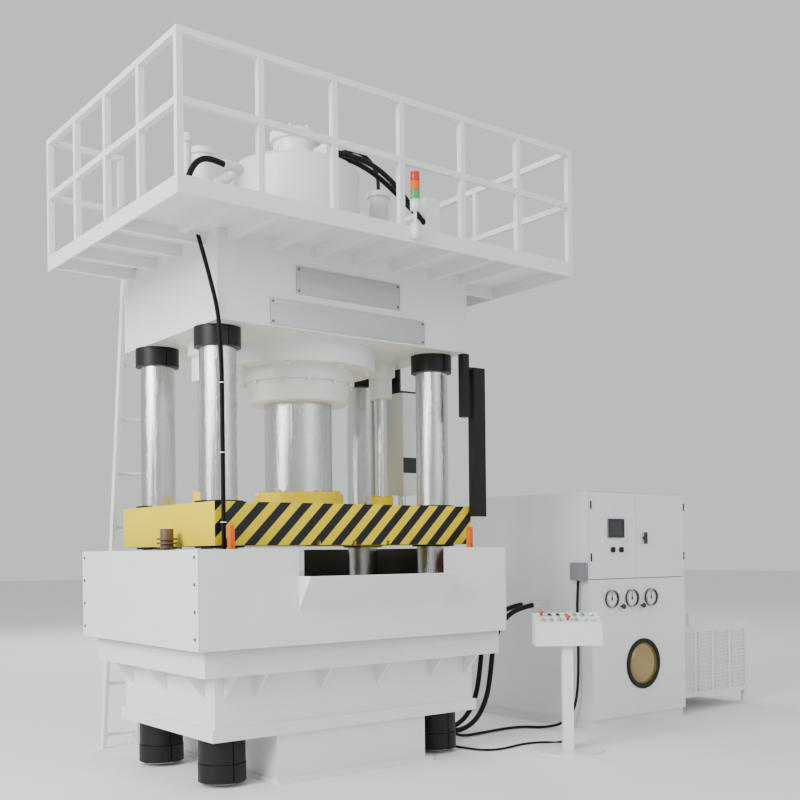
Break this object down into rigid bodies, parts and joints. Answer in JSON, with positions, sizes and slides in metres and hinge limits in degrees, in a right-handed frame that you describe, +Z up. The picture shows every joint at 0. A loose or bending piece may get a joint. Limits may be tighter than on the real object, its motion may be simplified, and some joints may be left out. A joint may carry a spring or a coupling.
{
  "type": "hydraulic press",
  "caption": "Four-column hydraulic press with a moving slide, guarded die space, railed top platform, ladder, power unit and operator pedestal.",
  "frame": {"origin": "on the floor at the centre of the four columns, under the foot", "axes": "+Z up, +X to the right along the front towards the power unit, +Y to the back"},
  "size_m": [6.606, 2.973, 4.752],
  "materials": {
    "white_paint": "semi-gloss enamel",
    "chrome": "hard chrome, ground",
    "black_steel": "blackened steel",
    "yellow_paint": "gloss enamel with hazard stripes",
    "plate": "satin",
    "machined_steel": "milled",
    "amber_plastic": "gloss",
    "brown_steel": "satin",
    "black_rubber": "matte",
    "grey_plastic": "matte",
    "lamp_plastic": "gloss",
    "gauge_steel": "polished",
    "black_plastic": "matte",
    "amber_glass": "amber window in a black ring",
    "button_plastic": "gloss",
    "red_plastic": "gloss"
  },
  "bodies": {
    "frame": {"bed_box": "white_paint", "bed_foot": "white_paint", "bed_table": "machined_steel", "buffer_post": "brown_steel", "cable_cabinet": "black_rubber", "cable_pedestal": "black_rubber", "cable_plug": "grey_plastic", "column_cable": "black_rubber", "column_nuts": "black_steel", "columns": "chrome", "control_cabinet": "white_paint", "crown": "white_paint", "cylinder_bolts": "black_steel", "cylinder_gland": "white_paint", "gauges": "gauge_steel", "guard_front": "white_paint", "guard_left": "white_paint", "guard_rear": "white_paint", "guard_right": "white_paint", "hose_floor_front": "black_rubber", "hose_floor_rear": "black_rubber", "hose_top_front": "black_rubber", "hose_top_left": "black_rubber", "hose_top_rear": "black_rubber", "hose_top_valve": "black_rubber", "ladder": "white_paint", "light_curtains": "amber_plastic", "main_cylinder": "white_paint", "name_plates": "plate", "oil_cooler": "white_paint", "oil_tank": "white_paint", "pedestal": "white_paint", "pedestal_buttons": "button_plastic", "platform_deck": "white_paint", "position_switches": "black_steel", "prefill_valve": "white_paint", "pump_hood": "white_paint", "railing": "white_paint", "return_cylinders": "white_paint", "sight_window": "amber_glass", "slide_lock": "white_paint", "stack_light": "lamp_plastic", "top_pipes": "white_paint"},
    "slide": {"slide": "yellow_paint", "ram": "chrome", "return_rods": "chrome", "slide_collars": "yellow_paint"},
    "door_left": {"cabinet_door_left": "white_paint", "operator_screen": "grey_plastic"},
    "door_right": {"cabinet_door_right": "white_paint"},
    "handle": {"door_handle": "black_plastic"},
    "selector_l": {"selector_left": "black_plastic"},
    "selector_r": {"selector_right": "black_plastic"},
    "pointer_1": {"gauge_pointer_1": "black_plastic"},
    "pointer_2": {"gauge_pointer_2": "black_plastic"},
    "pointer_3": {"gauge_pointer_3": "black_plastic"},
    "knob_1": {"valve_knob_1": "black_plastic"},
    "knob_2": {"valve_knob_2": "black_plastic"},
    "stop_rear": {"emergency_stop_rear": "red_plastic"},
    "stop_front": {"emergency_stop_front": "red_plastic"}
  },
  "joints": [
    {"name": "slide_travel", "type": "slide", "parent": "frame", "child": "slide", "axis": [0, 0, 1], "range_m": [-0.35, 0.34]},
    {"name": "door_left_hinge", "type": "hinge", "parent": "frame", "child": "door_left", "pos_m": [2.515, -0.675, 1.67], "axis": [0, 0, 1], "range_deg": [-110, 0]},
    {"name": "door_right_hinge", "type": "hinge", "parent": "frame", "child": "door_right", "pos_m": [3.775, -0.675, 1.67], "axis": [0, 0, 1], "range_deg": [0, 110]},
    {"name": "handle_turn", "type": "hinge", "parent": "door_right", "child": "handle", "pos_m": [3.204, -0.675, 1.65], "axis": [0, 1, 0], "range_deg": [0, 90]},
    {"name": "selector_left_turn", "type": "hinge", "parent": "door_left", "child": "selector_l", "pos_m": [2.785, -0.675, 1.548], "axis": [0, 1, 0], "range_deg": [-45, 45]},
    {"name": "selector_right_turn", "type": "hinge", "parent": "door_left", "child": "selector_r", "pos_m": [2.895, -0.675, 1.548], "axis": [0, 1, 0], "range_deg": [-45, 45]},
    {"name": "pointer_1_turn", "type": "hinge", "parent": "frame", "child": "pointer_1", "pos_m": [2.76, -0.675, 1.12], "axis": [0, 1, 0], "range_deg": [0, 270], "stiffness_Nm_per_rad": 0.02},
    {"name": "pointer_2_turn", "type": "hinge", "parent": "frame", "child": "pointer_2", "pos_m": [3.025, -0.675, 1.12], "axis": [0, 1, 0], "range_deg": [0, 270], "stiffness_Nm_per_rad": 0.02},
    {"name": "pointer_3_turn", "type": "hinge", "parent": "frame", "child": "pointer_3", "pos_m": [3.285, -0.675, 1.12], "axis": [0, 1, 0], "range_deg": [0, 270], "stiffness_Nm_per_rad": 0.02},
    {"name": "knob_1_turn", "type": "hinge", "parent": "frame", "child": "knob_1", "pos_m": [2.892, -0.675, 1.05], "axis": [0, 1, 0], "range_deg": [0, 270]},
    {"name": "knob_2_turn", "type": "hinge", "parent": "frame", "child": "knob_2", "pos_m": [3.16, -0.675, 1.05], "axis": [0, 1, 0], "range_deg": [0, 270]},
    {"name": "stop_rear_push", "type": "slide", "parent": "frame", "child": "stop_rear", "axis": [-0.2081, -0.2761, 0.9383], "range_m": [-0.005, 0]},
    {"name": "stop_front_push", "type": "slide", "parent": "frame", "child": "stop_front", "axis": [-0.2081, -0.2761, 0.9383], "range_m": [-0.005, 0]}
  ]
}
